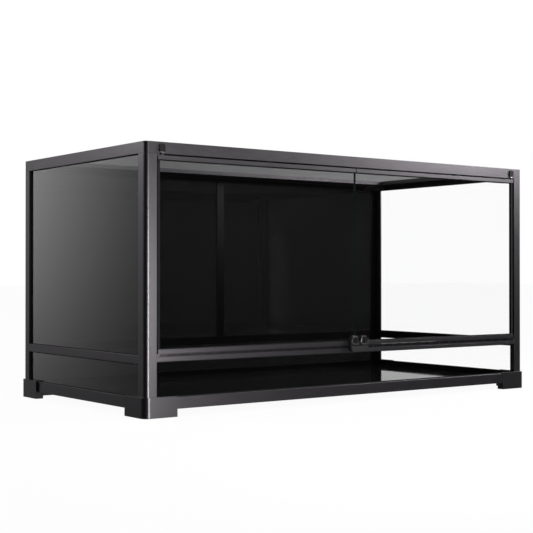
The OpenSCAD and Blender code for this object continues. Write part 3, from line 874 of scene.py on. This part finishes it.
@dataclass
class VentScreen:
    """The fine black mesh behind the slots of the vent rail, made near black so that it also stands in for the shade
    in the slots.

    Attributes:
        dresser: What gives the finishes.
        reach: How far it reaches from the middle, in metres.
        low: Its bottom above the ground, in metres.
        high: Its top, in metres.
        front: The place of its front, in metres.
        thick: How thick it is, in metres.
        wave: The height of its pleats, in metres.
        pleats: How many pleats it has.
        rows: How many rows of faces it has.
    """

    dresser: Dresser
    reach: float = 561 * MM
    low: float = 133.1 * MM
    high: float = 140.8 * MM
    front: float = -303.9 * MM
    thick: float = 0.25 * MM
    wave: float = 0.35 * MM
    pleats: int = 600
    rows: int = 2

    def build(self) -> None:
        """Lays the mesh along the rail."""
        bm = bmesh.new()
        middle = Vector((0, self.front, (self.low + self.high) / 2))
        place = Matrix.Translation(middle) @ Matrix.Rotation(math.pi / 2, 4, "X")
        size = Matrix.Diagonal((self.reach, (self.high - self.low) / 2, 1.0, 1.0))
        bmesh.ops.create_grid(bm, x_segments=self.pleats, y_segments=self.rows, size=1.0, matrix=place @ size)
        step = 2 * self.reach / self.pleats
        for vert in bm.verts:
            vert.co.y += self.wave * (round((vert.co.x + self.reach) / step) % 2)
        bmesh.ops.solidify(bm, geom=bm.faces[:], thickness=self.thick)
        self.dresser.fit(bm, "vent_mesh", MESH_CLOTH_AND_SHADE, "cabinet", "screen_wire")


@dataclass
class Trim:
    """The small bright and satin pieces on the latches and the hinge slides.

    Attributes:
        dresser: What gives the finishes.
        plate: How thick a face plate is, in metres.
        plate_soft: The radius of a housing plate's edges, in metres.
        margin: How far a plate's edges stay inside its piece's, in metres.
        block_h: The height of a housing's square block, in metres.
        keeper_r: The radius of the keeper plate's lower corners, in metres.
        keeper_steps: The number of steps round such a corner.
        ring_r: The radius of a ring's own section, in metres.
        ring_sides: The number of sides of that section.
        ring_steps: The number of steps round a ring.
        foot_front: The place of the face that a slide's foot lies on, in metres.
        foot_t: How far the foot stands out, in metres.
        foot_soft: The radius of its edges, in metres.
        foot_half: Half the width of its bar, in metres.
        stem_half: Half the width of its stem, in metres.
        bar_z: The bottom and the top of its bar, in metres.
        stem_z: The bottom and the top of its stem, in metres.
    """

    dresser: Dresser
    plate: float = 0.25 * MM
    plate_soft: float = 0.1 * MM
    margin: float = 0.3 * MM
    block_h: float = 9.5 * MM
    keeper_r: float = 11.6 * MM
    keeper_steps: int = 10
    ring_r: float = 0.75 * MM
    ring_sides: int = 12
    ring_steps: int = 48
    foot_front: float = -307.7 * MM
    foot_t: float = 0.6 * MM
    foot_soft: float = 0.15 * MM
    foot_half: float = 5.5 * MM
    stem_half: float = 2.2 * MM
    bar_z: tuple[float, float] = (586.6 * MM, 587.9 * MM)
    stem_z: tuple[float, float] = (584.3 * MM, 586.7 * MM)

    def build(self) -> None:
        """Makes the trim."""
        self.keeper_plate()
        for side in SIDES:
            self.housing_plate(side)
            self.ring(side)
            self.slide_foot(side)

    def keeper_plate(self) -> None:
        """Makes the satin plate on the keeper's front, with round lower corners."""
        low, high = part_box("latch_keeper")
        bm = bmesh.new()
        block(
            bm, (low.x + self.margin, low.y - self.plate, low.z + self.margin),
            (high.x - self.margin, low.y, high.z - self.margin),
        )
        lower = [edge for edge in bm.edges if all(vert.co.z < low.z + MM for vert in edge.verts)]
        corner_edges = [edge for edge in lower if edge.calc_length() < 2 * self.plate]
        bmesh.ops.bevel(
            bm, geom=corner_edges, offset=self.keeper_r, segments=self.keeper_steps, profile=0.5,
            affect="EDGES", material=-1,
        )
        self.dresser.fit(bm, "keeper_plate", LATCH_PLATE, "cabinet", "frame_profile")

    def housing_plate(self, side: str) -> None:
        """Makes the satin plate on a housing's block.

        Args:
            side: left or right.
        """
        low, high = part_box(f"latch_housing_{side}")
        bm = bmesh.new()
        block(
            bm, (low.x + self.margin, low.y - self.plate, low.z + self.margin),
            (high.x - self.margin, low.y, low.z + self.block_h - self.margin), self.plate_soft,
        )
        self.dresser.fit(bm, f"housing_plate_{side}", LATCH_PLATE, f"door_{side}", "frame_profile")

    def ring(self, side: str) -> None:
        """Makes the round bright ring in place of a flat one.

        Args:
            side: left or right.
        """
        name = f"latch_bezel_{side}"
        low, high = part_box(name)
        outer, depth = (high.x - low.x) / 2, (high.y - low.y) / 2
        upright = Matrix.Rotation(math.pi / 2, 4, "X")
        bm = bmesh.new()
        section = Matrix.Translation((outer - self.ring_r, 0, 0)) @ upright
        bmesh.ops.create_circle(bm, segments=self.ring_sides, radius=self.ring_r, matrix=section)
        bmesh.ops.spin(
            bm, geom=bm.verts[:] + bm.edges[:], cent=(0, 0, 0), axis=(0, 0, 1), angle=2 * math.pi,
            steps=self.ring_steps, use_merge=True,
        )
        squeeze = Matrix.Diagonal((1.0, 1.0, depth / self.ring_r, 1.0))
        place = Matrix.Translation((low + high) / 2) @ upright @ squeeze
        bmesh.ops.transform(bm, matrix=place, verts=bm.verts[:])
        for face in bm.faces:
            face.smooth = True
        self.dresser.fit(bm, f"bright_ring_{side}", CHROME, f"door_{side}", "bright_ring", name)

    def slide_foot(self, side: str) -> None:
        """Makes the bright T-shaped foot under a slide's finger plate.

        Args:
            side: left or right.
        """
        low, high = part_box(f"hinge_slide_{side}")
        middle = (low.x + high.x) / 2
        bm = bmesh.new()
        for half, (bottom, top) in ((self.foot_half, self.bar_z), (self.stem_half, self.stem_z)):
            block(
                bm, (middle - half, self.foot_front - self.foot_t, bottom),
                (middle + half, self.foot_front, top), self.foot_soft,
            )
        self.dresser.fit(bm, f"slide_foot_{side}", STEEL, f"slide_{side}", "bright_steel")


# ---- camera and studio ----


@dataclass(frozen=True)
class Viewpoint:
    """The camera of the photograph.

    Attributes:
        place: Where it stands, in metres.
        yaw: Its heading from +X towards +Y, in degrees.
        pitch: Its tilt above the horizon, in degrees.
        lens: Its focal length, in millimetres.
        sensor: Its sensor's width, in millimetres.
        reach: The nearest and the farthest distance that it sees, in metres.
    """

    place: Vec3 = (-1.94448, -2.54924, 0.31641)
    yaw: float = 53.4092
    pitch: float = 0.3859
    lens: float = 80.164
    sensor: float = 36.0
    reach: tuple[float, float] = (0.05, 200.0)

    def build(self) -> None:
        """Makes the scene's camera."""
        data = bpy.data.cameras.new("camera")
        data.lens = self.lens
        data.sensor_width = self.sensor
        data.clip_start, data.clip_end = self.reach
        yaw, pitch = math.radians(self.yaw), math.radians(self.pitch)
        ahead = Vector((math.cos(yaw) * math.cos(pitch), math.sin(yaw) * math.cos(pitch), math.sin(pitch)))
        obj = bpy.data.objects.new("camera", data)
        obj.location = self.place
        obj.rotation_euler = ahead.to_track_quat("-Z", "Y").to_euler()
        bpy.context.scene.collection.objects.link(obj)
        bpy.context.scene.camera = obj
        LOG.info("camera: %.1f mm", self.lens)


@dataclass(frozen=True)
class Softbox:
    """A soft lamp.

    Attributes:
        name: Its name.
        place: Where it hangs, in metres.
        aim: The point that it faces, in metres.
        size: Its width and height, in metres.
        power: Its power, in watts.
    """

    name: str
    place: Vec3
    aim: Vec3
    size: tuple[float, float]
    power: float

    def build(self) -> None:
        """Hangs the lamp."""
        data = bpy.data.lights.new(self.name, "AREA")
        data.shape = "RECTANGLE"
        data.size, data.size_y = self.size
        data.energy = self.power
        obj = bpy.data.objects.new(self.name, data)
        obj.location = self.place
        obj.rotation_euler = (Vector(self.aim) - Vector(self.place)).to_track_quat("-Z", "Y").to_euler()
        obj.visible_camera = False
        bpy.context.scene.collection.objects.link(obj)
        LOG.info("%s: %.0f W", self.name, self.power)


@dataclass(frozen=True)
class Fade:
    """A smooth change of brightness along one part of a direction.

    Attributes:
        part: X, Y or Z.
        low: Where it starts.
        high: Where it ends.
        start: The brightness before it.
        end: The brightness after it.
    """

    part: str
    low: float
    high: float
    start: float
    end: float

    def along(self, tree: bpy.types.NodeTree, way: bpy.types.Node) -> bpy.types.NodeSocket:
        """Builds the fade.

        Args:
            tree: The node tree.
            way: The node that splits the direction.

        Returns:
            The brightness's socket.
        """
        return ramp(tree, way.outputs[self.part], self.low, self.high, self.start, self.end)


@dataclass(frozen=True)
class Surround:
    """The white world, and what gloss mirrors of it: a bright screen behind, a dark front and a pale ground.

    Attributes:
        soft_light: The strength that lights the object.
        behind: Bright behind the object and dark in front of it.
        left_edge: The screen's left edge.
        left_end: Where the screen's left part ends.
        middle_start: Where its middle part starts.
        height: Dark near the floor and bright above it.
        right: The bright strip on the right.
        right_start: Where that strip starts, in front.
        ground: The pale ground's nearness to the horizon.
        ground_right: The part of the ground on the right.
        ground_front: The part of the ground in front.
    """

    soft_light: float = 0.55
    behind: Fade = Fade("Y", 0.0, 0.5, 0.04, 1.0)
    left_edge: Fade = Fade("X", -0.54, -0.34, 0.15, 1.15)
    left_end: Fade = Fade("X", -0.38, -0.24, 1.0, 0.1)
    middle_start: Fade = Fade("X", 0.0, 0.3, 0.1, 0.9)
    height: Fade = Fade("Z", -0.22, 0.16, 0.0, 1.3)
    right: Fade = Fade("X", 0.6, 0.9, 0.0, 0.5)
    right_start: Fade = Fade("Y", -0.35, -0.1, 0.0, 1.0)
    ground: Fade = Fade("Z", -0.32, -0.18, 0.32, 0.0)
    ground_right: Fade = Fade("X", -0.1, 0.1, 0.0, 1.0)
    ground_front: Fade = Fade("Y", -0.1, 0.1, 0.2, 0.0)

    def build(self) -> None:
        """Sets the world: white where it is seen, soft white as light, and a dark and bright room in gloss."""
        world = bpy.data.worlds.new("studio_surround")
        bpy.context.scene.world = world
        world.use_nodes = True
        world.cycles.sampling_method = "NONE"
        tree = world.node_tree
        tree.nodes.clear()
        white = add(tree, "Background", Color=WHITE, Strength=1.0)
        gloss = add(tree, "Background", Color=WHITE, Strength=self.mirrored(tree))
        soft = add(tree, "Background", Color=WHITE, Strength=self.soft_light)
        lit = blend(tree, add(tree, "LightPath").outputs["Is Glossy Ray"], soft, gloss)
        whole = blend(tree, seen_itself(tree), lit, white)
        output = add(tree, "OutputWorld")
        tree.links.new(whole.outputs[0], output.inputs["Surface"])
        LOG.info("%s: soft light %.2f", world.name, self.soft_light)

    def mirrored(self, tree: bpy.types.NodeTree) -> bpy.types.NodeSocket:
        """Builds the brightness that gloss mirrors in each direction.

        Args:
            tree: The world's node tree.

        Returns:
            The brightness's socket.
        """
        way = add(tree, "SeparateXYZ", Vector=add(tree, "TexCoord").outputs["Generated"])
        inner = calc(tree, "MAXIMUM", self.left_end.along(tree, way), self.middle_start.along(tree, way))
        height = self.height.along(tree, way)
        screen = product(tree, self.behind.along(tree, way), self.left_edge.along(tree, way), inner, height)
        strip = product(tree, self.right.along(tree, way), self.right_start.along(tree, way), height)
        around = calc(tree, "MAXIMUM", self.ground_right.along(tree, way), self.ground_front.along(tree, way))
        ground = product(tree, self.ground.along(tree, way), around)
        return calc(tree, "ADD", calc(tree, "MAXIMUM", screen, strip), ground)


@dataclass(frozen=True)
class Studio:
    """The pale floor, the white surround and the lamps.

    Attributes:
        floor_reach: How far the floor reaches from the middle, in metres.
        floor_tone: The floor's colour.
        floor_white: How much of the floor's look is plain white where it is seen; the rest keeps the shadow.
        surround: The world.
        lamps: The lamps.
    """

    floor_reach: float = 30.0
    floor_tone: Colour = (0.82, 0.82, 0.82)
    floor_white: float = 0.95
    surround: Surround = Surround()
    lamps: tuple[Softbox, ...] = (
        Softbox("lamp_top_right", (1.55, -1.1, 1.15), (0.6, -0.3, 0.5), (0.6, 0.45), 22.0),
        Softbox("lamp_left_front", (-0.33, -1.5, 0.1), (-0.6, -0.3, 0.2), (0.3, 0.8), 11.0),
        Softbox("lamp_above", (-0.4, -0.3, 2.5), (-0.2, 0.0, 0.3), (2.2, 1.6), 15.0),
        Softbox("lamp_left_back", (-1.15, 0.35, 1.0), (-0.6, 0.0, 0.6), (0.5, 0.5), 3.2),
    )

    def build(self) -> None:
        """Builds the studio and sets the view transform."""
        self.floor()
        self.surround.build()
        for lamp in self.lamps:
            lamp.build()
        bpy.context.scene.view_settings.view_transform = "Standard"

    def floor(self) -> None:
        """Lays the floor, whose white shows in the camera's view and which keeps the shadow."""
        bm = bmesh.new()
        bmesh.ops.create_grid(bm, x_segments=1, y_segments=1, size=self.floor_reach)
        obj = finished(bm, "studio_floor")
        mat = new_material("studio_floor")
        tree = mat.node_tree
        matt = add(tree, "BsdfDiffuse", Color=self.floor_tone)
        white = add(tree, "Emission", Color=WHITE, Strength=1.0)
        shown = product(tree, seen_itself(tree), self.floor_white)
        obj.data.materials.append(shade(mat, blend(tree, shown, matt, white).outputs[0]))
        obj.visible_glossy = False
        LOG.info("%s: %.0f m", obj.name, 2 * self.floor_reach)


def main() -> None:
    """Builds the camera, the sub-assemblies and the studio, in order."""
    logging.basicConfig(level=logging.INFO, format="%(name)s: %(message)s")
    dresser = Dresser()
    pieces = (Cabinet(dresser), Doors(dresser), Lid(dresser), Gaskets(dresser), VentScreen(dresser), Trim(dresser))
    for part in (Viewpoint(), *pieces, Studio()):
        part.build()


if __name__ == "__main__":
    main()
